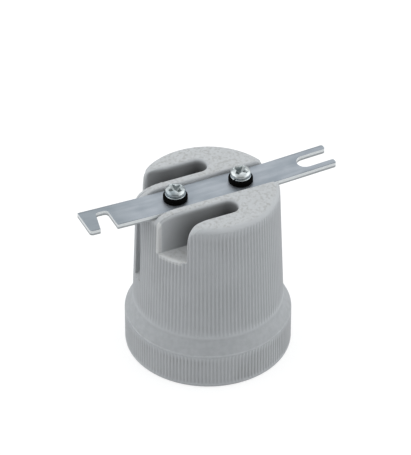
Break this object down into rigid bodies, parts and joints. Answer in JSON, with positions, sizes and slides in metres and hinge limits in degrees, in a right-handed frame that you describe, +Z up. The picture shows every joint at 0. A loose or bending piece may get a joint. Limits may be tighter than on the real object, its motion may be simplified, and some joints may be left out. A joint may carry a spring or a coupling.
{
  "type": "ceramic lamp holder",
  "caption": "Ribbed porcelain lamp holder with a screw shell, two wire slots and a steel mounting strap with a hook end and a fork end.",
  "frame": {"origin": "centre of the socket's open mouth, in the plane of its rim", "axes": "+Z up the holder's axis from the mouth to the strap, X along the strap with the fork end at +X, Y across the strap"},
  "size_m": [0.0758, 0.048, 0.0564],
  "materials": {
    "porcelain": "grey glazed porcelain, half matt",
    "strap_steel": "zinc-plated sheet steel, bluish",
    "zinc_plate": "bright zinc-plated steel",
    "black_washer": "black",
    "plated_shell": "nickel-plated rolled brass",
    "contact_strip": "phosphor bronze strip",
    "brass": "plain brass"
  },
  "bodies": {
    "holder": {"porcelain_body": "porcelain", "screw_shell": "plated_shell", "contact_screw": "brass", "shell_screw": "brass", "live_terminal": "brass", "neutral_terminal": "brass", "mounting_strap": "strap_steel", "hook_end_washer": "black_washer", "hook_end_spring_washer": "zinc_plate", "hook_end_screw": "zinc_plate", "hook_end_nut": "zinc_plate", "fork_end_washer": "black_washer", "fork_end_spring_washer": "zinc_plate", "fork_end_screw": "zinc_plate", "fork_end_nut": "zinc_plate"},
    "contact_tongue": {"centre_contact": "contact_strip"},
    "live_clamp_body": {"live_clamp": "zinc_plate"},
    "live_screw_body": {"live_wire_screw": "zinc_plate"},
    "neutral_clamp_body": {"neutral_clamp": "zinc_plate"},
    "neutral_screw_body": {"neutral_wire_screw": "zinc_plate"}
  },
  "joints": [
    {"name": "contact_press", "type": "hinge", "parent": "holder", "child": "contact_tongue", "pos_m": [0, 0.0076, 0.0297], "axis": [-1, 0, 0], "range_deg": [0, 10], "stiffness_Nm_per_rad": 0.15, "deforming": ["centre_contact"]},
    {"name": "live_clamp_lift", "type": "slide", "parent": "holder", "child": "live_clamp_body", "axis": [0, 0, 1], "range_m": [0, 0.002]},
    {"name": "live_screw_turn", "type": "hinge", "parent": "live_clamp_body", "child": "live_screw_body", "pos_m": [-0.0049, 0.0105, 0.0377], "axis": [0, 0, 1], "range_deg": [0, 1440]},
    {"name": "neutral_clamp_lift", "type": "slide", "parent": "holder", "child": "neutral_clamp_body", "axis": [0, 0, 1], "range_m": [0, 0.002]},
    {"name": "neutral_screw_turn", "type": "hinge", "parent": "neutral_clamp_body", "child": "neutral_screw_body", "pos_m": [-0.0049, -0.0105, 0.0377], "axis": [0, 0, 1], "range_deg": [0, 1440]}
  ],
  "couplings": [
    {"joint": "live_screw_turn", "follows": "live_clamp_lift", "rad_per_m": 12566},
    {"joint": "neutral_screw_turn", "follows": "neutral_clamp_lift", "rad_per_m": 12566}
  ]
}
